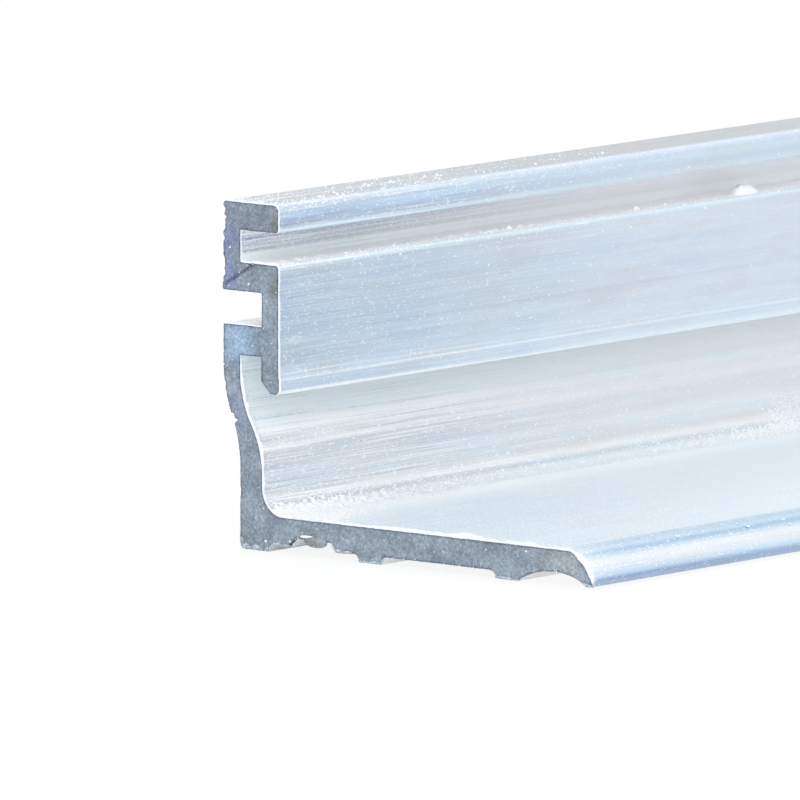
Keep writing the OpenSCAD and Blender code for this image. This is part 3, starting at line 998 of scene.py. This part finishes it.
def heap_up(spot, y, half_width, half_length, height):
    """Adds a heap of crumbs as one bumpy mound on the outline: rings of points from its foot to its top."""
    first = len(swarf_points)
    middle_at = travelled[nearest(spot)]
    for r in HEAP_RINGS:
        for k in range(HEAP_SIDES):
            turn = 2 * math.pi * k / HEAP_SIDES
            aside, ahead_by = half_width * r * math.cos(turn), half_length * r * math.sin(turn)
            bumps = noise.noise((3 * aside, 3 * ahead_by, y))
            bumps += 0.7 * noise.noise((8 * aside, 8 * ahead_by, y))
            lift = height * (1 - r * r) * (0.9 + 0.35 * bumps) - 0.02
            foot, out = (np.interp(middle_at + aside, travelled, line) for line in (drawn, outward))
            place = foot + out * lift
            swarf_points.append(Vector((place.real + BACK_X, y + ahead_by, place.imag)))
    for i in range((len(HEAP_RINGS) - 1) * HEAP_SIDES):
        after = i + 1 - (HEAP_SIDES if (i + 1) % HEAP_SIDES == 0 else 0)
        swarf_faces.append([first + corner for corner in (i, after, after + HEAP_SIDES, i + HEAP_SIDES)])
    swarf_faces.append(list(range(len(swarf_points) - HEAP_SIDES, len(swarf_points))))


for *part, number, usual, run, loose in SWARF_ZONES:
    spots = np.flatnonzero(within(*part))
    for end_y, inward, share in ((NEAR_Y, 1, 1.0), (FAR_Y, -1, FAR_END_SHARE)):
        for _ in range(int(number * share)):
            j = random.choice(spots)
            depth = FIRST_DEPTH + run * random.random() ** 2
            thrown_too_far = loose and outline[j].real > FAN_WIDTH - FAN_TAPER * min(depth, FAN_DEPTH)
            if not thrown_too_far:
                drop_on_outline(j, end_y + inward * depth, usual, loose)
for spot, depth, spread, number, usual in SCATTERED:
    for _ in range(number):
        j = nearest(spot + complex(*random.normal(0, 0.35 * min(spread, 1.5), 2)))
        drop_on_outline(j, NEAR_Y + abs(random.normal(depth, spread)), usual, spot.real < LOOSE_AS_FAR_AS)
for spot, depth, *sizes in HEAPS:
    heap_up(spot, NEAR_Y + depth, *sizes)
for _ in range(CLUMPS_ON_LEDGE):
    spot = complex(random.uniform(3.5, 4.7), FRONT_GROOVE_FLOOR)
    size = random.uniform(0.08, 0.17)
    heap_up(spot, NEAR_Y + 2 + 34 * random.random() ** 1.4, size, size * random.uniform(1, 2.2), size)
faces_back = outward.real < -0.5
specked_edge = np.flatnonzero(within(*BACK_EDGE) & faces_back | within(*LOWER_EDGE))
for j in random.choice(specked_edge, SPECKS_ON_EDGE):
    spot = drawn[j] - outward[j] * random.uniform(0.02, 0.2)
    drop((spot.real + BACK_X, NEAR_Y - 0.02, spot.imag), (0, -1, 0), SMALL_CHIP, False)
for cut_points, outside in ((near_points, -1), (far_points, 1)):
    for j in random.choice(len(cut_points), CHIPS_ON_CUT, replace=False):
        drop(cut_points[j], (0, outside, 0), SMALL_CHIP, False)
new_piece("swarf", [tuple(point * MM) for point in swarf_points], swarf_faces, [torn_metal])

# %% [markdown]
# ## Floor, light and camera
# The rail lies on a plain white floor. Part of the floor's white is its own, for rays from the camera and
# from shiny metal, so that it is white without more light on the rail and still keeps the rail's shadow.

# %% Floor
FLOOR_HALF = 6.0
FLOOR_Z = -0.02 * MM
FLOOR_GLOW = 0.88
floor_mesh = bpy.data.meshes.new("floor")
floor_mesh.from_pydata([(x, y, FLOOR_Z) for x, y in ((-FLOOR_HALF, -FLOOR_HALF), (FLOOR_HALF, -FLOOR_HALF),
                       (FLOOR_HALF, FLOOR_HALF), (-FLOOR_HALF, FLOOR_HALF))], [], [(0, 1, 2, 3)])
floor = bpy.data.objects.new("floor", floor_mesh)
scene.collection.objects.link(floor)
floor_paint, tree = new_material("matt_white_floor")
rays = add(tree, "LightPath").node.outputs
shiny = add(tree, "Math", {0: rays["Is Glossy Ray"], 1: rays["Is Transmission Ray"]}, operation="MAXIMUM")
seen = add(tree, "Math", {0: rays["Is Camera Ray"], 1: shiny}, operation="MAXIMUM")
share = add(tree, "Math", {0: seen, 1: FLOOR_GLOW}, operation="MULTIPLY")
matt = add(tree, "BsdfPrincipled", {"Base Color": linear("#E8E9EA"), "Roughness": 0.9})
white = add(tree, "Emission", {"Color": linear("#FFFFFF"), "Strength": 1.0})
paint = add(tree, "MixShader", {0: share, 1: matt, 2: white})
add(tree, "OutputMaterial", {"Surface": paint})
floor_mesh.materials.append(floor_paint)
print("floor of", 2 * FLOOR_HALF, "m in", floor_paint.name)

# %% [markdown]
# The light is a soft sky, as from a tent of white cloth: white at the horizon, faintly blue higher up and
# brighter overhead. The rounded edges look up into the bright part, which draws their white lines.

# %% Sky
SKY_COLOURS = ((0.0, "#F8FBFF"), (0.16, "#F5F6F7"), (0.4, "#F0F6FF"), (0.7, "#FFFFFF"))
HORIZON_LIGHT, OVERHEAD_LIGHT = 1.0, 1.45
world = bpy.data.worlds.new("soft_studio")
scene.world = world
world.use_nodes = True
tree = world.node_tree
tree.nodes.clear()
direction = add(tree, "TexCoord", out="Generated")
height = add(tree, "SeparateXYZ", {"Vector": direction}, "Z")
colour = add(tree, "ValToRGB", {"Fac": height}, stops=SKY_COLOURS)
level = add(tree, "MapRange", {"Value": height, "From Min": 0.25, "From Max": 0.7, "To Min": HORIZON_LIGHT,
            "To Max": OVERHEAD_LIGHT}, interpolation_type="SMOOTHSTEP")
glow = add(tree, "Background", {"Color": colour, "Strength": level})
add(tree, "OutputWorld", {"Surface": glow})
scene.view_settings.view_transform = "Standard"
print("sky from", HORIZON_LIGHT, "at the horizon to", OVERHEAD_LIGHT, "overhead")

# %% [markdown]
# The photograph shows almost no perspective: edges along the rail stay nearly parallel. A camera that stands
# far off with a long lens draws them so. Its two angles and its scale come from the photograph, and the point
# on the floor under the back of the head, at the near cut, is put on the pixel where the photograph has it.

# %% Camera
PHOTO_SIZE = 800
PIXELS_PER_MM = 13.69
HEEL_PIXEL = (223.4, 546.4)
AZIMUTH = math.radians(39.7)
ELEVATION = math.radians(7.6)
LENS = 810.0
SENSOR = 36.0

right = Vector((math.cos(AZIMUTH), math.sin(AZIMUTH), 0))
ahead = Vector((-math.sin(AZIMUTH) * math.cos(ELEVATION), math.cos(AZIMUTH) * math.cos(ELEVATION),
                -math.sin(ELEVATION)))
up = right.cross(ahead)
corner = Vector((CAD_LOW.x, CAD_LOW.y, 0))
middle = PHOTO_SIZE / 2
target = corner + MM / PIXELS_PER_MM * ((middle - HEEL_PIXEL[0]) * right + (HEEL_PIXEL[1] - middle) * up)
distance = MM * PHOTO_SIZE / PIXELS_PER_MM * LENS / SENSOR
camera_data = bpy.data.cameras.new("camera")
camera_data.lens = LENS
camera_data.sensor_width = SENSOR
camera = bpy.data.objects.new("camera", camera_data)
scene.collection.objects.link(camera)
place = target - ahead * distance
camera.matrix_world = Matrix(((right.x, up.x, -ahead.x, place.x), (right.y, up.y, -ahead.y, place.y),
                              (right.z, up.z, -ahead.z, place.z), (0, 0, 0, 1)))
scene.camera = camera
print("camera stands", round(distance, 3), "m away")
